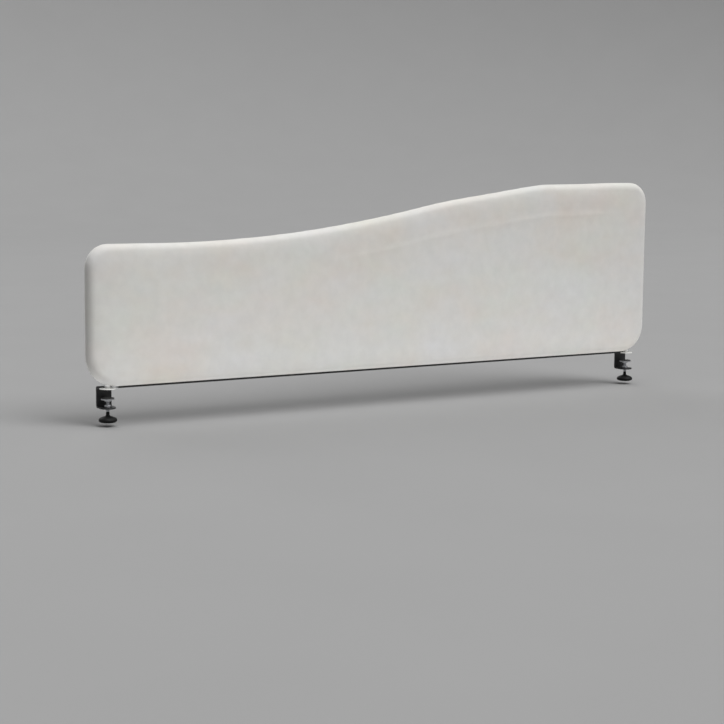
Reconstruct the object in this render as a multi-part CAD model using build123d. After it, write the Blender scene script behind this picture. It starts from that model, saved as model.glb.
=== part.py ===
from build123d import *
import math
import os

# A padded desk screen with a wave-shaped top, held on the back edge of a desktop by two screw clamps.
# Millimetres. X runs along the screen, Y to the back, Z up. The origin is at mid-length, on the desktop's
# upper face, at its back edge.

# The padded panel
panel_length = 1600.0
panel_height = 450.0
low_height = 317.5
panel_thickness = 40.0
panel_gap = 4.0
top_corner = 52.0
bottom_corner = 70.0
edge_round = 19.5
wave_along_shares = (0.06, 0.15, 0.24, 0.325, 0.41, 0.5, 0.595, 0.69, 0.76, 0.785, 0.81, 0.86, 0.94)
wave_rise_shares = (0.0, 0.001, 0.047, 0.13, 0.258, 0.435, 0.654, 0.815, 0.932, 0.962, 0.969, 0.977, 1.0)
wave_samples = 32

# The cover and what closes it
cover_thickness = 1.0
cover_ease = 0.2
groove_width = 20.0
groove_end_margin = 2.0
flange_width = 8.0
profile_wall = 1.6
profile_ease = 0.1
profile_drop = 2.5
staple_count = 18
staple_crown = 10.0
staple_leg = 8.0
staple_wire_width = 1.2
staple_wire_thickness = 0.6
staple_end_margin = 30.0

# The frame inside, its filling and its dowels
core_thickness = 18.0
core_inset = 9.0
rail_width = 70.0
middle_stile_width = 45.0
infill_ease = 0.5
dowel_radius = 4.0
dowel_length = 40.0

# The posts that carry the panel
clamp_inset = 50.0
post_radius = 6.25
post_ease = 0.2
post_bore_ease = 0.3
seat_depth = 1.0
insert_radius = 4.0
insert_length = 16.0
post_screw_radius = 2.5
post_screw_head_radius = 4.6
post_screw_head_recess = 0.1
post_screw_tip_gap = 2.0
post_screw_hex = 3.0
post_screw_hex_depth = 1.8
insert_thread_ease = 0.05

# The feet on the desktop
foot_radius = 18.0
foot_thickness = 1.8
foot_edge_round = 0.6
collar_radius = 6.6

# The clamp frames
strip_width = 36.0
strip_thickness = 3.2
strip_bend = 2.5
clamp_depth = 44.0
shoulder = 3.0
shoulder_round = 3.0
tongue_radius = 5.3
tongue_ease = 0.2

# The clamp screws, their nuts and pads
grip = 20.0
clamp_screw_radius = 4.0
clamp_screw_end_radius = 2.5
clamp_screw_ease = 0.05
arm_hole_ease = 0.5
nut_across_flats = 13.0
nut_height = 5.0
rubber_radius = 15.0
rubber_thickness = 1.5
pad_radius = 15.0
pad_thickness = 2.5
boss_radius = 7.0
ball_radius = 3.5
ball_ease = 0.05
ball_cover = 0.95
ball_neck_radius = 2.5
ball_mouth_drop = 1.5
ball_neck_length = 1.2

# The knobs
knob_drop = 6.7
knob_radius = 20.75
knob_height = 25.0
knob_neck_radius = 3.9
knob_neck_height = 6.3
knob_hub_radius = 10.0
knob_hub_drop = 10.8
knob_rim_radius = 19.0
knob_rim_drop = 14.8
knob_widest_drop = 18.3
knob_base_radius = 14.5
knob_base_drop = 24.2
knob_socket_depth = 17.0

# Worked out from the sizes above
half_length = panel_length / 2
middle = -panel_thickness / 2
core_foot = panel_gap + core_inset
rail_top = core_foot + rail_width
end_stile_inner = half_length - core_inset - rail_width
groove_end = half_length - bottom_corner - groove_end_margin
lining = groove_width / 2 - cover_thickness
clamp_x = half_length - clamp_inset
arm_top = foot_thickness + strip_thickness
lower_arm_top = strip_thickness - clamp_depth

nodes = {}


def block(x_range, y_range, z_range):
    """A box between two places on each axis."""
    size = [high - low for low, high in (x_range, y_range, z_range)]
    centre = [(low + high) / 2 for low, high in (x_range, y_range, z_range)]
    return Pos(*centre) * Box(*size)


def rod(x, y, radius, z_low, z_high):
    """An upright cylinder between two heights."""
    return Pos(x, y, (z_low + z_high) / 2) * Cylinder(radius, z_high - z_low)


def top_curve(inset):
    """The wave of the top edge, level at both ends, drawn in by inset along its normal."""
    rise = panel_height - low_height
    places = [
        (along * panel_length - half_length, panel_gap + low_height + share * rise)
        for along, share in zip(wave_along_shares, wave_rise_shares)
    ]
    level = (1, 0)
    edge = Spline(*places, tangents=(level, level))
    drawn_in = []
    for index in range(wave_samples + 1):
        place = edge @ (index / wave_samples)
        along = edge % (index / wave_samples)
        drawn_in.append((place.X + along.Y * inset, place.Y - along.X * inset))
    return Spline(*drawn_in, tangents=(level, level))


def outline(inset):
    """The front outline of the panel, drawn in by inset all round."""
    curve = top_curve(inset)
    start, end = curve @ 0, curve @ 1
    side = half_length - inset
    foot = panel_gap + inset
    corners = [(-side, start.Y), (-side, foot), (side, foot), (side, end.Y)]
    radii = [top_corner - inset, bottom_corner - inset, bottom_corner - inset, top_corner - inset]
    rest = FilletPolyline(start, *corners, end, radius=radii)
    return make_face([*curve.edges(), *rest.edges()])


def under_wave(inset):
    """All that lies under the wave drawn in by inset."""
    curve = top_curve(inset)
    start, end = curve @ 0, curve @ 1
    corners = [(-half_length, start.Y), (-half_length, 0), (half_length, 0), (half_length, end.Y)]
    rest = Polyline(start, *corners, end)
    return make_face([*curve.edges(), *rest.edges()])


def slab(face, thickness):
    """A front outline as a board of this thickness, halfway through the panel."""
    back = Plane.XZ.offset((panel_thickness - thickness) / 2)
    return extrude(back * face, amount=thickness)


def pillow(inset):
    """The panel's padded form, drawn in by inset: full round edges all the way about."""
    board = slab(outline(inset), panel_thickness - 2 * inset)
    faces = board.faces().sort_by(Axis.Y)
    rims = faces[0].edges() + faces[-1].edges()
    return fillet(rims, edge_round - inset)


def wave_height(inset, x):
    """The height of the drawn-in wave at x, found by halving."""
    curve = top_curve(inset)
    low, high = 0.0, 1.0
    for _ in range(wave_samples):
        between = (low + high) / 2
        if (curve @ between).X < x:
            low = between
        else:
            high = between
    return (curve @ low).Y


# Frame: a board ring of two rails and two end stiles, with two stiles across its opening
core = slab(outline(core_inset), core_thickness)
opening = under_wave(core_inset + rail_width)
through = (-panel_thickness, 0)
foot_zone = block((-half_length, half_length), through, (0, rail_top))
bottom_rail = core & foot_zone
top_rail = core - slab(opening, panel_thickness) - foot_zone
between_rails = (core & slab(opening, panel_thickness)) - foot_zone

stile_zones = {
    "left_end_stile": (-half_length, -end_stile_inner),
    "left_middle_stile": (
        -end_stile_inner / 3 - middle_stile_width / 2,
        -end_stile_inner / 3 + middle_stile_width / 2,
    ),
    "right_middle_stile": (
        end_stile_inner / 3 - middle_stile_width / 2,
        end_stile_inner / 3 + middle_stile_width / 2,
    ),
    "right_end_stile": (end_stile_inner, half_length),
}
stiles = {}
for name, zone in stile_zones.items():
    stiles[name] = between_rails & block(zone, through, (0, panel_height))

# Dowels: two across each joint between a stile and a rail
dowels = []
for name, zone in stile_zones.items():
    stile_box = stiles[name].bounding_box()
    for share in (-1, 1):
        x = (stile_box.min.X + stile_box.max.X) / 2 + share * stile_box.size.X / 4
        for joint in (rail_top, wave_height(core_inset + rail_width, x)):
            dowels.append(rod(x, middle, dowel_radius, joint - dowel_length / 2, joint + dowel_length / 2))
for name in stiles:
    for dowel in dowels:
        stiles[name] -= dowel
for dowel in dowels:
    top_rail -= dowel
    bottom_rail -= dowel

# Infill: three sound-absorbing boards that fill the fields between the stiles
inner_wave = slab(under_wave(core_inset + rail_width + infill_ease), core_thickness)
fields = {
    "left_infill": (stile_zones["left_end_stile"][1], stile_zones["left_middle_stile"][0]),
    "middle_infill": (stile_zones["left_middle_stile"][1], stile_zones["right_middle_stile"][0]),
    "right_infill": (stile_zones["right_middle_stile"][1], stile_zones["right_end_stile"][0]),
}
for name, (low, high) in fields.items():
    field = block((low + infill_ease, high - infill_ease), through, (rail_top + infill_ease, panel_height))
    nodes[name] = inner_wave & field

# Threaded inserts: one over each clamp, in a flat seat cut into the rounded corner of the bottom rail
core_corner = bottom_corner - core_inset
seat_reach = max(core_corner - (clamp_inset - core_inset - post_radius), 0)
seat_height = core_foot + core_corner - math.sqrt(core_corner**2 - seat_reach**2) + seat_depth
insert_top = seat_height + insert_length
post_screw_tip = insert_top - post_screw_tip_gap
inserts = []
for side in (-1, 1):
    x = side * clamp_x
    seat = rod(x, middle, post_radius + post_ease, 0, seat_height)
    bottom_rail -= seat + rod(x, middle, insert_radius, seat_height, insert_top)
    shell = rod(x, middle, insert_radius, seat_height, insert_top)
    inserts.append(shell - rod(x, middle, post_screw_radius + insert_thread_ease, 0, rail_top))
nodes["threaded_inserts"] = Compound(children=inserts)

# Staples: two rows along the foot of the panel, through the turned-in cover into the bottom rail
crown_top = core_foot - cover_thickness
staples = []
for row in (-1, 1):
    y = middle + row * (groove_width - flange_width - cover_thickness) / 2
    wire_y = (y - staple_wire_width / 2, y + staple_wire_width / 2)
    for index in range(staple_count):
        reach = groove_end - staple_end_margin
        x = -reach + 2 * reach * index / (staple_count - 1)
        ends = (x - staple_crown / 2, x + staple_crown / 2)
        staple = block(ends, wire_y, (crown_top - staple_wire_thickness, crown_top))
        leg_z = (crown_top, core_foot + staple_leg)
        staple += block((ends[0], ends[0] + staple_wire_thickness), wire_y, leg_z)
        staple += block((ends[1] - staple_wire_thickness, ends[1]), wire_y, leg_z)
        staples.append(staple)
bottom_rail = bottom_rail.cut(*[leg for staple in staples for leg in staple.solids()])
nodes["staples"] = Compound(children=staples)

# Foam: a front and a back half that meet round the edge of the frame, grooved along the foot
padding = pillow(cover_thickness + cover_ease) - slab(outline(core_inset), core_thickness)
groove_y = (middle - groove_width / 2, middle + groove_width / 2)
padding -= block((-groove_end, groove_end), groove_y, (0, core_foot))
for side in (-1, 1):
    padding -= rod(side * clamp_x, middle, post_radius + post_ease, 0, seat_height)
all_x = (-half_length, half_length)
all_z = (0, panel_gap + panel_height)
nodes["front_foam"] = padding & block(all_x, (-panel_thickness, middle), all_z)
nodes["back_foam"] = padding & block(all_x, (middle, 0), all_z)

# Cover: one sleeve of cloth whose two long edges turn into the groove and lie flat on the bottom rail
flat_edge = panel_thickness / 2 - edge_round
round_drop = math.sqrt(edge_round**2 - (groove_width / 2 - flat_edge) ** 2)
lining_foot = panel_gap + edge_round - round_drop
cover = pillow(0) - pillow(cover_thickness)
cover -= block((-groove_end, groove_end), (middle - lining, middle + lining), (0, core_foot))
for side in (-1, 1):
    wall = sorted((middle + side * lining, middle + side * groove_width / 2))
    flange = sorted((middle + side * (groove_width / 2 - flange_width), middle + side * groove_width / 2))
    cover += block((-groove_end, groove_end), wall, (lining_foot, core_foot))
    cover += block((-groove_end, groove_end), flange, (crown_top, core_foot))
    cover -= rod(side * clamp_x, middle, post_radius + post_ease, 0, seat_height)
cover = cover.cut(*[leg for staple in staples for leg in staple.solids()])
nodes["fabric_cover"] = cover

# Closing profile: a dark plastic channel pressed into the groove over the staples
profile_side = lining - profile_ease
profile_end = groove_end - cover_thickness
profile_foot = panel_gap - profile_drop
channel_y = (middle - profile_side, middle + profile_side)
channel = block((-profile_end, profile_end), channel_y, (profile_foot, crown_top))
hollow_y = (middle - profile_side + profile_wall, middle + profile_side - profile_wall)
nodes["closing_profile"] = channel - block(all_x, hollow_y, (profile_foot + profile_wall, core_foot))

nodes["bottom_rail"] = bottom_rail
nodes["top_rail"] = top_rail
nodes.update(stiles)
nodes["dowels"] = Compound(children=dowels)


def clamp_frame(x):
    """Bent flat bar: a tongue over the foot, a plate behind the edge and a round-ended lower arm."""
    front = middle - strip_width / 2
    outer = block((-strip_width / 2, strip_width / 2), (front, strip_thickness), (-clamp_depth, arm_top))
    inner = block((-strip_width, strip_width), (2 * front, 0), (lower_arm_top, foot_thickness))
    outer_bends = outer.edges().filter_by(Axis.X).group_by(Axis.Y)[-1]
    inner_bends = inner.edges().filter_by(Axis.X).group_by(Axis.Y)[-1]
    bar = fillet(outer_bends, strip_bend + strip_thickness) - fillet(inner_bends, strip_bend)
    tongue = Pos(0, middle / 2) * Rectangle(2 * tongue_radius, -middle)
    tongue += Pos(0, middle) * Circle(tongue_radius)
    wide = Pos(0, (strip_thickness - shoulder) / 2) * Rectangle(strip_width, strip_thickness + shoulder)
    upper = tongue + wide
    inside = [
        vertex
        for vertex in upper.vertices()
        if abs(abs(vertex.X) - tongue_radius) < tongue_ease and abs(vertex.Y + shoulder) < tongue_ease
    ]
    upper = fillet(inside, shoulder_round)
    lower = Pos(0, middle) * Circle(strip_width / 2)
    lower += Pos(0, (strip_thickness + middle) / 2) * Rectangle(strip_width, strip_thickness - middle)
    plan = extrude(upper, amount=arm_top) + Pos(0, 0, -clamp_depth) * extrude(lower, amount=clamp_depth)
    bar = Pos(x, 0, 0) * (bar & plan)
    head_foot = foot_thickness + post_screw_head_recess
    sink = Pos(x, middle, head_foot) * cone_up(post_screw_head_radius, post_screw_radius)
    bar -= sink + rod(x, middle, post_screw_head_radius, foot_thickness, head_foot)
    bar -= rod(x, middle, post_screw_radius, foot_thickness, arm_top)
    return bar - rod(x, middle, clamp_screw_radius + arm_hole_ease, -clamp_depth, lower_arm_top)


def cone_up(low_radius, high_radius):
    """A right-angled cone that narrows upwards from the ground plane."""
    height = low_radius - high_radius
    return Pos(0, 0, height / 2) * Cone(low_radius, high_radius, height)


def post_screw(x):
    """Countersunk screw up through the tongue and the post into the threaded insert."""
    head_foot = foot_thickness + post_screw_head_recess
    screw = Pos(x, middle, head_foot) * cone_up(post_screw_head_radius, post_screw_radius)
    screw += rod(x, middle, post_screw_radius, head_foot, post_screw_tip)
    socket = extrude(RegularPolygon(post_screw_hex / 2, 6, major_radius=False), amount=post_screw_hex_depth)
    return screw - Pos(x, middle, head_foot) * socket


def foot(x):
    """Thin round foot with a collar about the end of the tongue, open to the back."""
    disc = rod(x, middle, foot_radius, 0, foot_thickness)
    disc = fillet(disc.edges().group_by(Axis.Z)[-1], foot_edge_round)
    collar = rod(x, middle, collar_radius, foot_thickness, arm_top)
    pocket = rod(x, middle, tongue_radius + tongue_ease, foot_thickness, arm_top)
    slot_x = (x - tongue_radius - tongue_ease, x + tongue_radius + tongue_ease)
    return disc + (collar - pocket - block(slot_x, (middle, 0), (foot_thickness, arm_top)))


def post(x):
    """Plain tube that spaces the panel off the clamp."""
    return rod(x, middle, post_radius, arm_top, seat_height) - rod(
        x, middle, post_screw_radius + post_bore_ease, arm_top, seat_height
    )


# The pad's levels, from the underside of the desktop down
rubber_foot = -grip - rubber_thickness
pad_foot = rubber_foot - pad_thickness
ball_centre = rubber_foot - ball_cover - ball_ease - ball_radius
boss_foot = ball_centre - ball_mouth_drop
screw_top = boss_foot - ball_neck_length
knob_top = -clamp_depth - knob_drop
screw_foot = knob_top - knob_socket_depth


def pressure_pad(x):
    """Round steel pad whose boss is crimped about the ball of the screw."""
    pad = rod(x, middle, pad_radius, pad_foot, rubber_foot)
    pad += rod(x, middle, boss_radius, boss_foot, pad_foot)
    return pad - Pos(x, middle, ball_centre) * Sphere(ball_radius + ball_ease)


def weld_nut(x):
    """Six-sided nut on the upper side of the lower arm."""
    hexagon = RegularPolygon(nut_across_flats / 2, 6, major_radius=False)
    nut = Pos(x, middle, lower_arm_top) * extrude(hexagon, amount=nut_height)
    bore = clamp_screw_radius + clamp_screw_ease
    return nut - rod(x, middle, bore, lower_arm_top, lower_arm_top + nut_height)


def clamp_screw(x):
    """Threaded rod with a ball at its upper end and a turned-down lower end."""
    screw = rod(x, middle, clamp_screw_radius, knob_top, screw_top)
    screw += rod(x, middle, clamp_screw_end_radius, screw_foot, knob_top)
    screw += rod(x, middle, ball_neck_radius, screw_top, ball_centre)
    return screw + Pos(x, middle, ball_centre) * Sphere(ball_radius)


def knob(x):
    """Turned knob: a slender neck that flares into a thick round head."""
    neck_top = (knob_neck_radius, 0)
    neck_foot = (knob_neck_radius, -knob_neck_height)
    hub = (knob_hub_radius, -knob_hub_drop)
    rim = (knob_rim_radius, -knob_rim_drop)
    widest = (knob_radius, -knob_widest_drop)
    base = (knob_base_radius, -knob_base_drop)
    bottom = (0, -knob_height)
    flare = Spline(neck_foot, hub, rim, tangents=((0, -1), (1, -1)))
    edges = [Line((0, 0), neck_top), Line(neck_top, neck_foot), *flare.edges()]
    edges += [ThreePointArc(rim, widest, base), Line(base, bottom), Line(bottom, (0, 0))]
    turned = revolve(Plane.XZ * make_face(edges), Axis.Z)
    return Pos(x, middle, knob_top) * turned - rod(x, middle, clamp_screw_end_radius, screw_foot, knob_top)


# Clamps: the same pieces at each end of the panel
for side, place in (("left", -clamp_x), ("right", clamp_x)):
    nodes[f"{side}_clamp_frame"] = clamp_frame(place)
    nodes[f"{side}_foot"] = foot(place)
    nodes[f"{side}_post"] = post(place)
    nodes[f"{side}_post_screw"] = post_screw(place)
    nodes[f"{side}_weld_nut"] = weld_nut(place)
    nodes[f"{side}_clamp_screw"] = clamp_screw(place)
    nodes[f"{side}_knob"] = knob(place)
    nodes[f"{side}_pressure_pad"] = pressure_pad(place)
    pad_face = rod(place, middle, rubber_radius, rubber_foot, -grip)
    nodes[f"{side}_pad_rubber"] = pad_face

os.makedirs("parts", exist_ok=True)
for name, shape in nodes.items():
    export_step(shape, f"parts/{name}.step")
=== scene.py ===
import math

import bmesh
import bpy
import numpy as np
from mathutils import Matrix, Vector, noise


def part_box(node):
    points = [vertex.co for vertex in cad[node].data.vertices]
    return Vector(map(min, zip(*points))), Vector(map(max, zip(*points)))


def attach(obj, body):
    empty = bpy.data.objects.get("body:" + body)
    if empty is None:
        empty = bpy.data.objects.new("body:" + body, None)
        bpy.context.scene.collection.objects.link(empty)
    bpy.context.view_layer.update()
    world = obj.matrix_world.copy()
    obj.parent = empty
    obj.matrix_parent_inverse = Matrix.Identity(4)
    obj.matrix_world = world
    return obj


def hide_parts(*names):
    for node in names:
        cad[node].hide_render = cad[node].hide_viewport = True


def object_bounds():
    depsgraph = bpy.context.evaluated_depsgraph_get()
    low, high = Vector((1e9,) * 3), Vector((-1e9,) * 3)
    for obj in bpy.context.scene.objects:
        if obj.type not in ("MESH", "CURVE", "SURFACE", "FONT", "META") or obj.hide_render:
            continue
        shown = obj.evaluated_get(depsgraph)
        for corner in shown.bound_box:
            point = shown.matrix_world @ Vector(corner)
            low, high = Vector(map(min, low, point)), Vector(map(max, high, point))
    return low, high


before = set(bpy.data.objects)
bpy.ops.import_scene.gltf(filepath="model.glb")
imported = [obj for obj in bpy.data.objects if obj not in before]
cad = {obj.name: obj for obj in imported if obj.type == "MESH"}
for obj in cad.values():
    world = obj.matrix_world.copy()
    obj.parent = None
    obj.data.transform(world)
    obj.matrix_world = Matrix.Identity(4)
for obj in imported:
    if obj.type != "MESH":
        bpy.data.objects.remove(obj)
cad_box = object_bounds()

# Frame boards: the screen starts as a ring of plywood, two rails and four stiles, glued and dowelled.
# The boards are cut from 18 mm sheet, so their faces show long grain and their edges show the plies.


def feed(tree, socket, value):
    """Joins another socket to this one, or sets this one to a plain value."""
    if isinstance(value, bpy.types.NodeSocket):
        tree.links.new(value, socket)
    else:
        socket.default_value = value


def add_node(tree, kind, settings=None, **inputs):
    """A shader node with its settings made and its inputs fed."""
    node = tree.nodes.new(kind)
    for name, value in (settings or {}).items():
        setattr(node, name, value)
    for name, value in inputs.items():
        feed(tree, node.inputs[name.replace("_", " ")], value)
    return node


def new_material(name, roughness, **shader_inputs):
    """A material with one shader, and the tree, the shader and the object coordinates to build on."""
    material = bpy.data.materials.new(name)
    material.use_nodes = True
    tree = material.node_tree
    shader = tree.nodes["Principled BSDF"]
    shader.inputs["Roughness"].default_value = roughness
    for label, value in shader_inputs.items():
        shader.inputs[label.replace("_", " ")].default_value = value
    place = add_node(tree, "ShaderNodeTexCoord").outputs["Object"]
    return material, tree, shader, place


def stretched(tree, place, scale, turn=(0, 0, 0)):
    """Object coordinates scaled and turned, so that a noise on them has a direction."""
    return add_node(tree, "ShaderNodeMapping", Vector=place, Scale=scale, Rotation=turn).outputs["Vector"]


def two_tone(tree, mask, dark, light, low=0.3, high=0.7):
    """A colour that goes from dark to light as the mask rises from low to high."""
    node = add_node(tree, "ShaderNodeValToRGB", Fac=mask)
    for element, position, colour in zip(node.color_ramp.elements, (low, high), (dark, light)):
        element.position = position
        element.color = (*colour, 1)
    return node.outputs["Color"]


def dye(tree, shader, mask, dark, light, low=0.3, high=0.7):
    """Colours the shader from dark to light as the mask rises from low to high."""
    tree.links.new(two_tone(tree, mask, dark, light, low, high), shader.inputs["Base Color"])


def scaled(tree, mask, low, high):
    """A 0 to 1 mask brought to the range from low to high."""
    return add_node(tree, "ShaderNodeMapRange", Value=mask, To_Min=low, To_Max=high).outputs["Result"]


def calculated(tree, operation, *values):
    """What a maths node makes of these masks and numbers."""
    node = add_node(tree, "ShaderNodeMath", {"operation": operation})
    for socket, value in zip(node.inputs, values):
        feed(tree, socket, value)
    return node.outputs["Value"]


def bump(tree, shader, height, depth, strength=1.0):
    """Joins a height to the shader's normal as a bump of this depth in metres."""
    node = add_node(tree, "ShaderNodeBump", Height=height, Distance=depth, Strength=strength)
    tree.links.new(node.outputs["Normal"], shader.inputs["Normal"])


def dress(name, material):
    """Gives a CAD node its material."""
    mesh = cad[name].data
    mesh.materials.clear()
    mesh.materials.append(material)


ply_thickness = 0.0018
ply_dark = (0.34, 0.20, 0.10)
ply_light = (0.62, 0.44, 0.26)
ply_share = 0.45
wave_radians_per_unit = 20
ply_waver = 0.4
grain_scale = (9, 60, 150)
grain_range = (0.1, 0.7)
grain_depth = 0.0003
frame_boards = (
    "bottom_rail",
    "top_rail",
    "left_end_stile",
    "left_middle_stile",
    "right_middle_stile",
    "right_end_stile",
)

plywood, tree, shader, place = new_material("plywood", roughness=0.62)
plies = add_node(
    tree,
    "ShaderNodeTexWave",
    {"bands_direction": "Y"},
    Vector=place,
    Scale=math.pi / (wave_radians_per_unit * ply_thickness),
    Distortion=ply_waver,
)
long_lay = stretched(tree, place, grain_scale)
grain = add_node(tree, "ShaderNodeTexNoise", Vector=long_lay, Scale=1, Detail=6).outputs["Fac"]
streaked = scaled(tree, grain, *grain_range)
layered = calculated(tree, "MULTIPLY_ADD", plies.outputs["Fac"], ply_share, streaked)
dye(tree, shader, layered, ply_dark, ply_light, low=0.15, high=0.85)
bump(tree, shader, grain, grain_depth)
for board in frame_boards:
    dress(board, plywood)

# Dowels: plain beech pins, 8 mm across, with their grain along them.
# Two are glued into each joint of a rail and a stile.

beech_dark = (0.45, 0.28, 0.15)
beech_light = (0.66, 0.48, 0.30)
beech_lay = (900, 900, 40)
beech_depth = 0.0002
beech, tree, shader, place = new_material("beech", roughness=0.5)
along_pin = stretched(tree, place, beech_lay)
streaks = add_node(tree, "ShaderNodeTexNoise", Vector=along_pin, Scale=1, Detail=3).outputs["Fac"]
dye(tree, shader, streaks, beech_dark, beech_light)
bump(tree, shader, streaks, beech_depth)
dress("dowels", beech)

# Infill boards: pressed polyester fibre that takes up sound, one board in each field of the frame.
# They are cut a little small and held by the foam that is glued over them.

fibre_dark = (0.10, 0.10, 0.10)
fibre_light = (0.24, 0.24, 0.23)
fibre_lay = (300, 900, 1100)
fibre_slant = (0, 0.4, 0)
fibre_depth = 0.0008
fibre_board, tree, shader, place = new_material("fibre_board", roughness=0.95)
fibres = add_node(
    tree,
    "ShaderNodeTexNoise",
    Vector=stretched(tree, place, fibre_lay, fibre_slant),
    Scale=1,
    Detail=5,
    Distortion=1.5,
).outputs["Fac"]
dye(tree, shader, fibres, fibre_dark, fibre_light)
bump(tree, shader, fibres, fibre_depth)
for board in ("left_infill", "middle_infill", "right_infill"):
    dress(board, fibre_board)

# Foam: a front and a back half of fine open-cell upholstery foam, glued over the frame.
# The two are glued to each other round the rim, and give the panel its full-round edge.

foam_pore = (0.42, 0.36, 0.22)
foam_cell = (0.72, 0.66, 0.48)
cells_per_metre = 900
pore_depth = 0.0004
foam, tree, shader, place = new_material("foam", roughness=0.9)
cells = add_node(tree, "ShaderNodeTexVoronoi", Vector=place, Scale=cells_per_metre).outputs["Distance"]
dye(tree, shader, cells, foam_pore, foam_cell, low=0.0, high=0.5)
bump(tree, shader, cells, pore_depth)
for half in ("front_foam", "back_foam"):
    dress(half, foam)

# Cover: one sleeve of felted wool-look cloth, pulled taut over the foam and turned in along the foot.
# It has no seam on its faces. The frame's edges show through the foam as faint ridges, the cloth draws in
# round each post, and a soft crease runs above the foot where the cloth was pulled to its staples.

clamps = ("left", "right")
edge_round = 0.0195
top_corner = 0.052
bottom_corner = 0.070
low_end_drop = 0.1325
wave_along_shares = (0.06, 0.15, 0.24, 0.325, 0.41, 0.5, 0.595, 0.69, 0.76, 0.785, 0.81, 0.86, 0.94)
wave_rise_shares = (0.0, 0.001, 0.047, 0.13, 0.258, 0.435, 0.654, 0.815, 0.932, 0.962, 0.969, 0.977, 1.0)
outline_step = 0.01
corner_steps = 14
edge_steps = 8

cover_low, cover_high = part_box("fabric_cover")
panel_length = cover_high.x - cover_low.x
panel_middle = (cover_low.y + cover_high.y) / 2
half_thickness = (cover_high.y - cover_low.y) / 2
rail_drop = cover_high.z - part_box("right_infill")[1].z


def smooth_step(value):
    """Rises smoothly from 0 at 0 to 1 at 1."""
    t = np.clip(value, 0, 1)
    return t * t * (3 - 2 * t)


def wave_top(x):
    """The height of the panel's top edge at x: level at both ends, smooth through its chosen places."""
    along = cover_low.x + np.array(wave_along_shares) * panel_length
    rise = cover_high.z - low_end_drop * (1 - np.array(wave_rise_shares))
    slopes = np.zeros(len(along))
    slopes[1:-1] = (rise[2:] - rise[:-2]) / (along[2:] - along[:-2])
    x = np.clip(x, along[0], along[-1])
    place = np.clip(np.searchsorted(along, x) - 1, 0, len(along) - 2)
    run = along[place + 1] - along[place]
    t = (x - along[place]) / run
    start = rise[place] * (1 + 2 * t) * (1 - t) ** 2 + slopes[place] * run * t * (1 - t) ** 2
    end = rise[place + 1] * t * t * (3 - 2 * t) - slopes[place + 1] * run * t * t * (1 - t)
    return start + end


def middle_and_radius(node):
    """The middle and the radius of an upright round CAD node."""
    low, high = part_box(node)
    return (low + high) / 2, (high.x - low.x) / 2


def finished_mesh(name, bm):
    """The mesh of a bmesh, which is done with."""
    mesh = bpy.data.meshes.new(name)
    bm.to_mesh(mesh)
    bm.free()
    return mesh


def put_in_scene(name, data):
    """A new object in the scene, at the origin."""
    thing = bpy.data.objects.new(name, data)
    bpy.context.scene.collection.objects.link(thing)
    return thing


def new_piece(name, bm, material, body, slot, *stands_for):
    """Makes a bmesh a piece that rides on a body in place of CAD nodes."""
    mesh = finished_mesh(name, bm)
    mesh.materials.append(material)
    piece = put_in_scene(name, mesh)
    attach(piece, body)
    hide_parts(*stands_for)
    return piece


def apply_modifiers(piece):
    """Puts what the piece's modifiers make into its mesh."""
    evaluated = piece.evaluated_get(bpy.context.evaluated_depsgraph_get())
    mesh = bpy.data.meshes.new_from_object(evaluated)
    piece.modifiers.clear()
    piece.data = mesh


def shade(piece, sharp_from):
    """Smooth shading, with the edges sharp that turn by this many degrees or more."""
    piece.data.shade_smooth()
    piece.data.set_sharp_from_angle(angle=math.radians(sharp_from))


def new_group(name, inputs, outputs):
    """A node group with a Vector input and these float inputs and outputs, and its two end nodes."""
    group = bpy.data.node_groups.new(name, "ShaderNodeTree")
    group.interface.new_socket("Vector", in_out="INPUT", socket_type="NodeSocketVector")
    for label in inputs:
        group.interface.new_socket(label, in_out="INPUT", socket_type="NodeSocketFloat")
    for label in outputs:
        group.interface.new_socket(label, in_out="OUTPUT", socket_type="NodeSocketFloat")
    return group, group.nodes.new("NodeGroupInput").outputs, group.nodes.new("NodeGroupOutput").inputs


fibre_turns = (0.35, -0.6, 1.4)
fibre_scale = (420, 900, 2400)
clump_scale = 40
hue_drift_scale = (4.5, 4.5, 7)

felt_group, felt_in, felt_out = new_group("felted_fibres", (), ("Height", "Mottle", "Warmth", "Tint"))
layers = []
for turn in fibre_turns:
    lay = stretched(felt_group, felt_in["Vector"], fibre_scale, (0, turn, 0))
    strands = add_node(felt_group, "ShaderNodeTexNoise", Vector=lay, Scale=1, Detail=3, Distortion=0.8)
    layers.append(strands.outputs["Fac"])
felt_height = layers[0]
for layer in layers[1:]:
    felt_height = calculated(felt_group, "MAXIMUM", felt_height, layer)
clumps = add_node(
    felt_group, "ShaderNodeTexNoise", Vector=felt_in["Vector"], Scale=clump_scale, Detail=6, Roughness=0.55
)
hue_lay = stretched(felt_group, felt_in["Vector"], hue_drift_scale)
hues = add_node(felt_group, "ShaderNodeTexNoise", Vector=hue_lay, Scale=1, Detail=3, Roughness=0.6)
drifts = add_node(felt_group, "ShaderNodeSeparateColor", Color=hues.outputs["Color"])
feed(felt_group, felt_out["Height"], felt_height)
feed(felt_group, felt_out["Mottle"], clumps.outputs["Fac"])
feed(felt_group, felt_out["Warmth"], drifts.outputs["Red"])
feed(felt_group, felt_out["Tint"], drifts.outputs["Green"])

cloth_rosy = (0.641, 0.609, 0.581)
cloth_green = (0.621, 0.631, 0.603)
tint_range = (-0.9, 2.9)
# How far the cloth's colour darkens where the fibres are low: painted shade between the fibres.
fibre_gap_shade_range = (0.90, 1.0)
mottle_range = (0.92, 1.08)
felt_depth = 0.0005
felt_strength = 0.5

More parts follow.
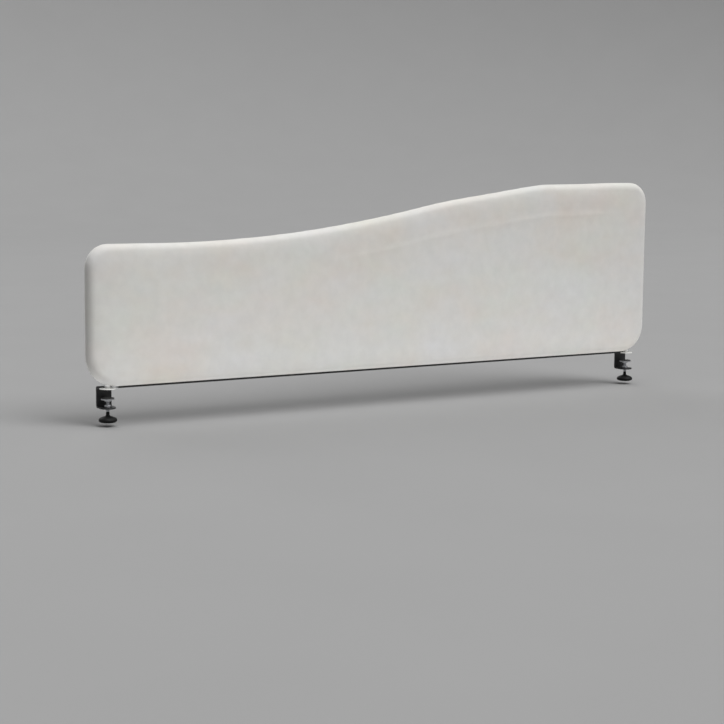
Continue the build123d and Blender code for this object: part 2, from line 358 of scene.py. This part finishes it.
cover_cloth, tree, shader, place = new_material(
    "cover_cloth", roughness=0.88, Sheen_Weight=0.25, Sheen_Roughness=0.55
)
felt = add_node(tree, "ShaderNodeGroup", {"node_tree": felt_group}, Vector=place).outputs
# The colour's value follows the fibre height, so the low places between fibres carry painted shade.
clumped = add_node(
    tree,
    "ShaderNodeHueSaturation",
    Color=two_tone(tree, felt["Warmth"], cloth_green, cloth_rosy),
    Value=scaled(tree, felt["Height"], *fibre_gap_shade_range),
    Saturation=scaled(tree, felt["Tint"], *tint_range),
)
mottle = scaled(tree, felt["Mottle"], *mottle_range)
dyed = add_node(tree, "ShaderNodeHueSaturation", Color=clumped.outputs["Color"], Value=mottle)
feed(tree, shader.inputs["Base Color"], dyed.outputs["Color"])
bump(tree, shader, felt["Height"], felt_depth, felt_strength)

wave_start = cover_low.x + wave_along_shares[0] * panel_length
wave_end = cover_low.x + wave_along_shares[-1] * panel_length
crest_steps = round((wave_end - wave_start) / outline_step)

bm = bmesh.new()
foot_left = bm.verts.new((cover_low.x, cover_low.y, cover_low.z))
foot_right = bm.verts.new((cover_high.x, cover_low.y, cover_low.z))
head_right = bm.verts.new((cover_high.x, cover_low.y, float(wave_top(wave_end))))
crest = []
for x in np.linspace(wave_end, wave_start, crest_steps):
    crest.append(bm.verts.new((x, cover_low.y, float(wave_top(x)))))
head_left = bm.verts.new((cover_low.x, cover_low.y, float(wave_top(wave_start))))
bm.faces.new([foot_left, foot_right, head_right, *crest, head_left])
for corners, radius in (((foot_left, foot_right), bottom_corner), ((head_left, head_right), top_corner)):
    bmesh.ops.bevel(
        bm,
        geom=list(corners),
        offset=radius,
        segments=corner_steps,
        profile=0.5,
        affect="VERTICES",
        material=-1,
    )
grown = bmesh.ops.extrude_face_region(bm, geom=bm.faces[:])["geom"]
back_verts = [part for part in grown if isinstance(part, bmesh.types.BMVert)]
bmesh.ops.translate(bm, vec=(0, 2 * half_thickness, 0), verts=back_verts)
bmesh.ops.recalc_face_normals(bm, faces=bm.faces)
rims = [edge for edge in bm.edges if abs(edge.verts[0].co.y - edge.verts[1].co.y) < half_thickness]
bmesh.ops.bevel(
    bm, geom=rims, offset=edge_round, segments=edge_steps, profile=0.5, affect="EDGES", material=-1
)
cover = new_piece("felt_cover", bm, cover_cloth, "screen", "cover_cloth", "fabric_cover")
form = put_in_scene("cover_form", cover.data.copy())

even_mesh = 0.0076
remesh = cover.modifiers.new("even_mesh", "REMESH")
remesh.mode = "VOXEL"
remesh.voxel_size = even_mesh
cover.modifiers.new("back_on_the_form", "SHRINKWRAP").target = form
apply_modifiers(cover)

face_starts = 0.7
field_ramp = 0.03


def read_points(piece):
    """The places of a piece's vertices, one row each."""
    points = np.zeros(len(piece.data.vertices) * 3)
    piece.data.vertices.foreach_get("co", points)
    return points.reshape(-1, 3)


def write_points(piece, points):
    """Moves a piece's vertices to these places."""
    piece.data.vertices.foreach_set("co", points.ravel())


def front_or_back(points):
    """+1 on the back and -1 on the front, and how far each point belongs to the flat of its face."""
    across = points[:, 1] - panel_middle
    return np.sign(across), smooth_step((np.abs(across) / half_thickness - face_starts) / (1 - face_starts))


def under_top_rail(points):
    """How far each point lies under the inner edge of the top rail."""
    return wave_top(points[:, 0]) - rail_drop - points[:, 2]


def over_field(points):
    """1 where the foam lies over an infill board, and 0 where it lies over a rail or a stile."""
    stiles = frame_boards[2:]
    spans = []
    for left_board, right_board in zip(stiles, stiles[1:]):
        gap_left, gap_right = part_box(left_board)[1].x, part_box(right_board)[0].x
        past_left = smooth_step((points[:, 0] - gap_left) / field_ramp)
        spans.append(past_left * smooth_step((gap_right - points[:, 0]) / field_ramp))
    over_rail = smooth_step((points[:, 2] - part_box("bottom_rail")[1].z) / field_ramp)
    return sum(spans) * over_rail * smooth_step(under_top_rail(points) / field_ramp)


cloth_slack = 0.0008
flat_share = 0.8
groove_reach = 0.010
board_press = 0.5
foam_pressure = 0.5
cloth_stiffness = 80
cloth_quality = 4
cloth_steps = 12
cloth_cap = 0.0025

points = read_points(cover)
side, on_face = front_or_back(points)
points[:, 1] -= side * smooth_step((on_face - flat_share) / (1 - flat_share)) * cloth_slack
write_points(cover, points)
stapled = cover.vertex_groups.new(name="stapled")
at_foot = points[:, 2] < cover_low.z + even_mesh
in_groove = at_foot & (np.abs(points[:, 1] - panel_middle) < groove_reach)
stapled.add(np.flatnonzero(in_groove).tolist(), 1.0, "REPLACE")
springy = cover.vertex_groups.new(name="springy_foam")
for index, share in enumerate(board_press + (1 - board_press) * over_field(points)):
    springy.add([index], share, "REPLACE")
taut = cover.modifiers.new("taut_cloth", "CLOTH").settings
taut.vertex_group_mass = "stapled"
taut.use_pressure = True
taut.uniform_pressure_force = foam_pressure
taut.vertex_group_pressure = "springy_foam"
taut.effector_weights.gravity = 0
taut.quality = cloth_quality
taut.tension_stiffness = cloth_stiffness
taut.compression_stiffness = cloth_stiffness
for step in range(1, cloth_steps + 1):
    bpy.context.scene.frame_set(step)
apply_modifiers(cover)
bpy.context.scene.frame_set(1)
pressed = read_points(cover) - points
reach = np.linalg.norm(pressed, axis=1, keepdims=True)
points += pressed * np.minimum(1, cloth_cap / np.maximum(reach, cloth_cap))
write_points(cover, points)

finer = cover.modifiers.new("finer_cloth", "SUBSURF")
finer.levels = finer.render_levels = 1
apply_modifiers(cover)

rim_fill = 0.0004
ridge_height = 0.0005
ridge_width = 0.008
ridge_fade = 0.3
ridge_end = 0.12
crease_depth = 0.0006
crease_width = 0.004
crease_above_foot = 0.012
crease_fade = 0.3
drift_height = 0.0005
drift_size = 0.16
tuck_reach = 0.013
tuck_depth = 0.0008

points = read_points(cover)
side, on_face = front_or_back(points)
normals = np.zeros(points.size)
cover.data.vertices.foreach_get("normal", normals)
points += rim_fill * (1 - on_face)[:, None] * normals.reshape(-1, 3)
ridge = np.exp(-((under_top_rail(points) / ridge_width) ** 2))
ridge *= smooth_step((points[:, 0] + ridge_fade) / ridge_fade)
ridge *= smooth_step((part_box("right_end_stile")[0].x - points[:, 0]) / ridge_end)
crease = np.exp(-(((points[:, 2] - cover_low.z - crease_above_foot) / crease_width) ** 2))
crease *= smooth_step(points[:, 0] / crease_fade)
drift = np.array([noise.noise(Vector(point) / drift_size) for point in points])
points[:, 1] += side * on_face * (ridge_height * ridge + drift_height * drift)
points[:, 1] -= side * crease_depth * crease
for clamp in clamps:
    post_middle, _ = middle_and_radius(f"{clamp}_post")
    away = np.hypot(points[:, 0] - post_middle.x, points[:, 1] - panel_middle)
    near_foot = points[:, 2] < cover_low.z + bottom_corner / 2
    points[:, 2] += tuck_depth * np.exp(-((away / tuck_reach) ** 2)) * near_foot
write_points(cover, points)

foam_give = 0.0006
groove_play = 0.0003
post_play = 0.0003
hole_steps = 40

profile_low, profile_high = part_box("closing_profile")
groove_size = profile_high - profile_low + Vector((2 * groove_play,) * 3)
bm = bmesh.new()
groove = bmesh.ops.create_cube(bm, size=1)["verts"]
bmesh.ops.scale(bm, vec=groove_size, verts=groove)
bmesh.ops.translate(bm, vec=(profile_low + profile_high) / 2, verts=groove)
for clamp in clamps:
    post_low, post_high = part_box(f"{clamp}_post")
    post_middle, post_radius = middle_and_radius(f"{clamp}_post")
    bmesh.ops.create_cone(
        bm,
        cap_ends=True,
        segments=hole_steps,
        radius1=post_radius + post_play,
        radius2=post_radius + post_play,
        depth=post_high.z - post_low.z,
        matrix=Matrix.Translation(post_middle),
    )
cutter = new_piece("cover_cutter", bm, cover_cloth, "screen", "cover_cloth")
held = cover.modifiers.new("held_out_by_the_foam", "SHRINKWRAP")
held.target = form
held.wrap_mode = "OUTSIDE"
held.offset = -foam_give
cut = cover.modifiers.new("groove_and_posts", "BOOLEAN")
cut.operation = "DIFFERENCE"
cut.solver = "EXACT"
cut.object = cutter
apply_modifiers(cover)
bpy.data.objects.remove(cutter)
bpy.data.objects.remove(form)

bm = bmesh.new()
bm.from_mesh(cover.data)
bmesh.ops.dissolve_verts(bm, verts=[vert for vert in bm.verts if len(vert.link_edges) == 2])
bm.to_mesh(cover.data)
bm.free()
shade(cover, sharp_from=50)

# Closing strip: a black extruded plastic channel pressed into the groove along the foot, over the staples.
# It stands a little proud of the cloth and shows as a thin dark line under the panel, its near-black partly
# painted shade of the gap.

merge_distance = 1e-6
eased_from = math.radians(40)
easing_steps = 2


def softened(name, material, body, slot, round_off):
    """A piece with the CAD node's form and its edges eased, in place of the node."""
    bm = bmesh.new()
    bm.from_mesh(cad[name].data)
    bmesh.ops.remove_doubles(bm, verts=bm.verts, dist=merge_distance)
    piece = new_piece(f"eased_{name}", bm, material, body, slot, name)
    easing = piece.modifiers.new("eased_edges", "BEVEL")
    easing.width = round_off
    easing.segments = easing_steps
    easing.limit_method = "ANGLE"
    easing.angle_limit = eased_from
    apply_modifiers(piece)
    shade(piece, sharp_from=35)


handling_scale = 70
gloss_spread = 0.1

grain_group, grain_in, grain_out = new_group("moulded_grain", ("Grains per metre",), ("Height", "Wear"))
pebbles = add_node(
    grain_group,
    "ShaderNodeTexVoronoi",
    {"feature": "SMOOTH_F1"},
    Vector=grain_in["Vector"],
    Scale=grain_in["Grains per metre"],
)
rubbed = add_node(
    grain_group, "ShaderNodeTexNoise", Vector=grain_in["Vector"], Scale=handling_scale, Detail=4
)
feed(grain_group, grain_out["Height"], pebbles.outputs["Distance"])
feed(grain_group, grain_out["Wear"], rubbed.outputs["Fac"])


def moulded(name, dark, light, roughness, grains, depth, gloss=0.5):
    """A moulded plastic or rubber: fine grain, with its gloss a little uneven from handling."""
    material, tree, shader, place = new_material(name, roughness, Specular_IOR_Level=gloss)
    grain = add_node(
        tree, "ShaderNodeGroup", {"node_tree": grain_group}, Vector=place, Grains_per_metre=grains
    ).outputs
    dye(tree, shader, grain["Wear"], dark, light)
    uneven = scaled(tree, grain["Wear"], roughness - gloss_spread, roughness + gloss_spread)
    feed(tree, shader.inputs["Roughness"], uneven)
    bump(tree, shader, grain["Height"], depth)
    return material


# The strip's near-black is partly its own black plastic and partly painted shade of the gap under the panel.
strip_dark_with_gap_shade = (0.008, 0.008, 0.008)
strip_light_with_gap_shade = (0.012, 0.012, 0.012)
strip_edge = 0.0003
closing_plastic = moulded(
    "closing_plastic", strip_dark_with_gap_shade, strip_light_with_gap_shade, roughness=0.6, grains=1800, depth=0.00005, gloss=0.25
)
softened("closing_profile", closing_plastic, "screen", "closing_plastic", strip_edge)

# Staples and inserts: galvanised wire staples hold the turned-in cloth under the channel, and a brass
# threaded insert sits in the bottom rail over each clamp.

smudge_scale = 120
mark_depth = 0.00003
polished_by = 0.1
dulled_by = 0.12


def plain_metal(name, dark, light, roughness, mark_lay):
    """A bare or plated metal with fine draw marks and smudges."""
    material, tree, shader, place = new_material(name, roughness, Metallic=1.0)
    lay = stretched(tree, place, mark_lay)
    marks = add_node(tree, "ShaderNodeTexNoise", Vector=lay, Scale=1, Detail=4).outputs["Fac"]
    smudge = add_node(tree, "ShaderNodeTexNoise", Vector=place, Scale=smudge_scale, Detail=3).outputs["Fac"]
    dye(tree, shader, smudge, dark, light)
    uneven = scaled(tree, marks, roughness - polished_by, roughness + dulled_by)
    feed(tree, shader.inputs["Roughness"], uneven)
    bump(tree, shader, marks, mark_depth)
    return material


wire_dark = (0.42, 0.42, 0.41)
wire_light = (0.58, 0.58, 0.56)
brass_dark = (0.55, 0.40, 0.16)
brass_light = (0.72, 0.55, 0.26)
staple_wire = plain_metal("staple_wire", wire_dark, wire_light, roughness=0.4, mark_lay=(200, 3000, 3000))
insert_metal = plain_metal(
    "insert_metal", brass_dark, brass_light, roughness=0.35, mark_lay=(1500, 1500, 200)
)
dress("staples", staple_wire)
dress("threaded_inserts", insert_metal)

# Clamp frames: 3.2 mm steel strip, bent to a C and powder-coated satin black after bending.
# The coat has a faint orange peel, and it thins a little where it is rubbed.

coat_dark = (0.010, 0.010, 0.011)
coat_light = (0.020, 0.020, 0.021)
coat_roughness_range = (0.32, 0.55)
peel_scale = 700
peel_depth = 0.00012
rub_scale = 60
frame_edge = 0.0004
clamp_steel, tree, shader, place = new_material("clamp_steel", roughness=0.42, Specular_IOR_Level=0.45)
peel = add_node(tree, "ShaderNodeTexNoise", Vector=place, Scale=peel_scale, Detail=2).outputs["Fac"]
rub = add_node(tree, "ShaderNodeTexNoise", Vector=place, Scale=rub_scale, Detail=5).outputs["Fac"]
dye(tree, shader, rub, coat_dark, coat_light, low=0.35)
feed(tree, shader.inputs["Roughness"], scaled(tree, rub, *coat_roughness_range))
bump(tree, shader, peel, peel_depth)
for clamp in clamps:
    softened(f"{clamp}_clamp_frame", clamp_steel, "screen", "clamp_steel", frame_edge)

# Feet: a thin off-white moulded disc under each post, with a collar round the end of the clamp's tongue.
# It is pressed on from below and covers the head of the post's screw.

foot_dark = (0.60, 0.60, 0.58)
foot_light = (0.68, 0.68, 0.66)
foot_edge = 0.0002
foot_plastic = moulded("foot_plastic", foot_dark, foot_light, roughness=0.42, grains=1500, depth=0.00004)
for clamp in clamps:
    softened(f"{clamp}_foot", foot_plastic, "screen", "foot_plastic", foot_edge)

# Posts: a short length of satin aluminium tube spaces the panel off the clamp, over a countersunk screw
# that runs up through the clamp's tongue into the insert.

tube_dark = (0.62, 0.62, 0.61)
tube_light = (0.72, 0.72, 0.71)
zinc_dark = (0.50, 0.51, 0.53)
zinc_light = (0.66, 0.67, 0.69)
post_edge = 0.0002
post_metal = plain_metal("post_metal", tube_dark, tube_light, roughness=0.36, mark_lay=(3000, 3000, 250))
plated_steel = plain_metal(
    "plated_steel", zinc_dark, zinc_light, roughness=0.3, mark_lay=(1200, 1200, 1200)
)
for clamp in clamps:
    softened(f"{clamp}_post", post_metal, "screen", "post_metal", post_edge)
    softened(f"{clamp}_post_screw", plated_steel, "screen", "plated_steel", post_edge)

# Weld nuts: a zinc-plated six-sided nut inside each lower arm, over the hole that the clamp's screw runs in.
# It is welded to the arm, and masked while the frame is coated.

nut_edge = 0.0004
for clamp in clamps:
    softened(f"{clamp}_weld_nut", plated_steel, "screen", "plated_steel", nut_edge)

# Clamp screws: M8 zinc-plated rod with a rolled thread, a ball at the top and a plain end in the knob.
# The ball is turned on the rod, and lets the pad stand still while the screw turns.

thread_pitch = 0.00125
thread_depth = 0.0007
thread_steps = 24
thread_shift = 0.2
flank_shares = ((1, 0), (1, 1 / 8), (0, 7 / 16), (0, 9 / 16), (1, 7 / 8), (1, 1))
rod_margin = 0.0012
ball_radius = 0.0035
ball_neck = 0.0025
ball_steps = 16
turning_steps = 40


def on_axis(bm, radius_heights):
    """The vertices and edges of a chain in the XZ half-plane, from (radius, height) pairs."""
    chain = [bm.verts.new((radius, 0, height)) for radius, height in radius_heights]
    return chain + [bm.edges.new(pair) for pair in zip(chain, chain[1:])]


def turn_round(bm, radius_heights, steps):
    """A closed turned form about the Z axis through the bmesh's origin."""
    chain = on_axis(bm, radius_heights)
    bmesh.ops.spin(
        bm, geom=chain, cent=(0, 0, 0), axis=(0, 0, 1), angle=math.tau, steps=steps, use_merge=True
    )
    bmesh.ops.remove_doubles(bm, verts=bm.verts, dist=merge_distance)
    bmesh.ops.recalc_face_normals(bm, faces=bm.faces)


def roll_thread(bm, radius, low, high):
    """A thread about the Z axis, cut off flat and closed at both heights."""
    start = low - (2 - thread_shift / thread_steps) * thread_pitch
    turns = math.ceil((high - start) / thread_pitch) + 2
    flank = [(radius - thread_depth * deep, start + thread_pitch * along) for deep, along in flank_shares]
    bmesh.ops.spin(
        bm,
        geom=on_axis(bm, flank),
        cent=(0, 0, 0),
        axis=(0, 0, 1),
        dvec=(0, 0, thread_pitch / thread_steps),
        angle=math.tau * turns,
        steps=thread_steps * turns,
    )
    bmesh.ops.remove_doubles(bm, verts=bm.verts, dist=merge_distance)
    for height, upwards in ((low, -1), (high, 1)):
        cut = bmesh.ops.bisect_plane(
            bm,
            geom=bm.verts[:] + bm.edges[:] + bm.faces[:],
            plane_co=(0, 0, height),
            plane_no=(0, 0, upwards),
            clear_outer=True,
        )["geom_cut"]
        bmesh.ops.holes_fill(bm, edges=[part for part in cut if isinstance(part, bmesh.types.BMEdge)])
    bmesh.ops.recalc_face_normals(bm, faces=bm.faces)


def arc(centre_radius, centre_height, radius, start, end, steps):
    """(radius, height) pairs on an arc, with its angles in degrees up from the outward direction."""
    angles = np.radians(np.linspace(start, end, steps + 1))
    return [(centre_radius + radius * math.cos(a), centre_height + radius * math.sin(a)) for a in angles]


def place_turned(name, bm, material, body, slot, node):
    """Moves a turned form to the axis of the CAD node that it replaces, and makes it a smooth piece."""
    middle, _ = middle_and_radius(node)
    bmesh.ops.translate(bm, vec=(middle.x, middle.y, 0), verts=bm.verts)
    piece = new_piece(name, bm, material, body, slot, node)
    shade(piece, sharp_from=40)
    return piece


for clamp in clamps:
    screw = f"{clamp}_clamp_screw"
    screw_low, screw_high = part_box(screw)
    knob_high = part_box(f"{clamp}_knob")[1].z
    rod_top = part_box(f"{clamp}_pressure_pad")[0].z - rod_margin
    bm = bmesh.new()
    roll_thread(bm, middle_and_radius(screw)[1], knob_high, rod_top)
    neck_meets_ball = -math.degrees(math.acos(ball_neck / ball_radius))
    neck = [(0, rod_top - thread_pitch), (ball_neck, rod_top - thread_pitch)]
    ball = arc(0, screw_high.z - ball_radius, ball_radius, neck_meets_ball, 90, ball_steps)
    plain_end = [
        (0, screw_low.z),
        (ball_neck, screw_low.z),
        (ball_neck, knob_high + thread_pitch),
        (0, knob_high + thread_pitch),
    ]
    turned = bmesh.new()
    turn_round(turned, neck + ball, turning_steps)
    turn_round(turned, plain_end, turning_steps)
    ends = finished_mesh("screw_ends", turned)
    bm.from_mesh(ends)
    bpy.data.meshes.remove(ends)
    place_turned(f"{clamp}_threaded_rod", bm, plated_steel, f"{clamp}_screw", "plated_steel", screw)

# Pressure pads: a steel plate with a boss, pressed from sheet and zinc-plated.
# The boss is crimped round the screw's ball.

pad_edge = 0.0003
for clamp in clamps:
    softened(f"{clamp}_pressure_pad", plated_steel, f"{clamp}_pad", "plated_steel", pad_edge)

# Pad rubbers: a black rubber disc with four grip rings in its face and an eased rim.
# It is moulded, and bonded to the pad's plate.

rubber_dark = (0.016, 0.016, 0.016)
rubber_light = (0.026, 0.026, 0.026)
ring_count = 4
ring_depth = 0.0004
ring_width = 0.0009
rim_round = 0.0004
rim_steps = 4
rubber_steps = 64
pad_rubber = moulded("pad_rubber", rubber_dark, rubber_light, roughness=0.75, grains=2500, depth=0.00006)
for clamp in clamps:
    rubber = f"{clamp}_pad_rubber"
    low, high = (corner.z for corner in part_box(rubber))
    radius = middle_and_radius(rubber)[1]
    section = [(0, high)]
    for ring in range(1, ring_count + 1):
        ring_middle = radius * ring / (ring_count + 1)
        section += [
            (ring_middle - ring_width, high),
            (ring_middle - ring_width / 2, high - ring_depth),
            (ring_middle + ring_width / 2, high - ring_depth),
            (ring_middle + ring_width, high),
        ]
    section += arc(radius - rim_round, high - rim_round, rim_round, 90, 0, rim_steps)
    section += [(radius, low), (0, low)]
    bm = bmesh.new()
    turn_round(bm, section, rubber_steps)
    place_turned(f"{clamp}_ringed_rubber", bm, pad_rubber, f"{clamp}_pad", "pad_rubber", rubber)

# Knobs: black hand wheels with a slender neck that flares into a thick rounded head.
# Each is moulded on the plain end of its screw, with a fine matt grain.

knob_dark = (0.004, 0.004, 0.004)
knob_light = (0.007, 0.007, 0.007)
neck_radius = 0.0039
flare_shares = (
    (0.19, 0.26),
    (0.20, 0.31),
    (0.26, 0.37),
    (0.37, 0.418),
    (0.482, 0.444),
    (0.62, 0.487),
    (0.78, 0.54),
)
head_shares = (
    (0.915, 0.609),
    (0.972, 0.665),
    (1.0, 0.753),
    (0.985, 0.84),
    (0.92, 0.91),
    (0.80, 0.96),
    (0.70, 0.985),
    (0.62, 1.0),
)
knob_plastic = moulded(
    "knob_plastic", knob_dark, knob_light, roughness=0.6, grains=1400, depth=0.00005, gloss=0.22
)
for clamp in clamps:
    wheel = f"{clamp}_knob"
    low, high = (corner.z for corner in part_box(wheel))
    radius = middle_and_radius(wheel)[1]
    section = [(0, high), (neck_radius, high)]
    section += [(radius * out, high - (high - low) * down) for out, down in flare_shares + head_shares]
    section += [(0, low)]
    bm = bmesh.new()
    turn_round(bm, section, turning_steps)
    knob = place_turned(f"{clamp}_hand_knob", bm, knob_plastic, f"{clamp}_screw", "knob_plastic", wheel)
    rounding = knob.modifiers.new("rounding", "SUBSURF")
    rounding.levels = rounding.render_levels = 2
    apply_modifiers(knob)
    knob.data.shade_smooth()

# Floor: a plain pale round floor that curves up into a low wall all the way round.
# It lies just under where the knobs come when both clamps are wide open, 8 mm below their place at rest.

floor_dark = (0.255, 0.255, 0.255)
floor_light = (0.26, 0.26, 0.26)
floor_drop = 0.0085
floor_radius = 9.0
floor_steps = 120
sweep_radius = 5.0
sweep_steps = 24
patch_scale = 3
floor_merge_distance = 1e-5
floor_material, tree, shader, place = new_material("pale_floor", roughness=0.95)
floor_tone = add_node(tree, "ShaderNodeTexNoise", Vector=place, Scale=patch_scale, Detail=2).outputs["Fac"]
dye(tree, shader, floor_tone, floor_dark, floor_light)
bm = bmesh.new()
centre_spot = bm.verts.new((0, 0, 0))
floor_edge = bm.verts.new((0, floor_radius, 0))
bm.edges.new((centre_spot, floor_edge))
bmesh.ops.spin(
    bm,
    geom=[floor_edge],
    cent=(0, floor_radius, sweep_radius),
    axis=(1, 0, 0),
    angle=math.pi / 2,
    steps=sweep_steps,
)
bmesh.ops.spin(
    bm,
    geom=bm.verts[:] + bm.edges[:],
    cent=(0, 0, 0),
    axis=(0, 0, 1),
    angle=math.tau,
    steps=floor_steps,
    use_merge=True,
)
bmesh.ops.remove_doubles(bm, verts=bm.verts, dist=floor_merge_distance)
bmesh.ops.translate(bm, vec=(0, 0, cad_box[0].z - floor_drop), verts=bm.verts)
bmesh.ops.recalc_face_normals(bm, faces=bm.faces)
floor = put_in_scene("floor", finished_mesh("floor", bm))
floor.data.shade_smooth()
floor.data.materials.append(floor_material)

# Light: a wide soft key light from the front, above and to the right, soft lights from overhead and from
# behind, an even room light, and two low bounce panels that light the front from below.

room_strength = 0.23
bounce_length = 1.7
bounce_height = -0.002


def add_light(name, kind, strength):
    """A light of this kind and strength."""
    light = put_in_scene(name, bpy.data.lights.new(name, kind))
    light.data.energy = strength
    return light


for name, comes_from, spread, strength in (
    ("key_light", (0.30, -0.58, 0.76), 40, 1.91),
    ("overhead_light", (0.05, -0.15, 1.0), 40, 1.8),
    ("back_fill_light", (0.0, 0.85, 0.5), 50, 0.8),
):
    sun = add_light(name, "SUN", strength)
    sun.data.angle = math.radians(spread)
    sun.rotation_euler = Vector(comes_from).to_track_quat("Z", "Y").to_euler()

for name, depth, strength in (("bounce_light", 0.64, 1.6), ("foot_bounce_light", 0.06, 0.08)):
    panel = add_light(name, "AREA", strength)
    panel.data.shape = "RECTANGLE"
    panel.data.size = bounce_length
    panel.data.size_y = depth
    panel.location = (0, -depth / 2, bounce_height)
    panel.rotation_euler = (math.pi, 0, 0)
    panel.visible_camera = False

world = bpy.data.worlds.new("room_light")
world.use_nodes = True
world.node_tree.nodes["Background"].inputs["Color"].default_value = (1, 1, 1, 1)
world.node_tree.nodes["Background"].inputs["Strength"].default_value = room_strength
bpy.context.scene.world = world
bpy.context.scene.view_settings.view_transform = "Standard"

# Camera: where the photograph was taken from, left of the screen and a little above it.
# Its place, turn and lens come from the fit that also gave the screen its size.

camera_place = (-2.2279, -3.4514, 0.5164)
camera_turn = math.radians(31.99)
camera_dip = math.radians(6.964)
camera_roll = math.radians(-0.503)
focal_pixels = 1679.2
picture_pixels = 724
sensor_mm = 36
camera_data = bpy.data.cameras.new("camera")
camera_data.sensor_width = sensor_mm
camera_data.lens = sensor_mm * focal_pixels / picture_pixels
camera = put_in_scene("camera", camera_data)
level = Matrix.Rotation(-camera_turn, 4, "Z") @ Matrix.Rotation(math.pi / 2 - camera_dip, 4, "X")
camera.matrix_world = Matrix.Translation(camera_place) @ level @ Matrix.Rotation(-camera_roll, 4, "Z")
bpy.context.scene.camera = camera
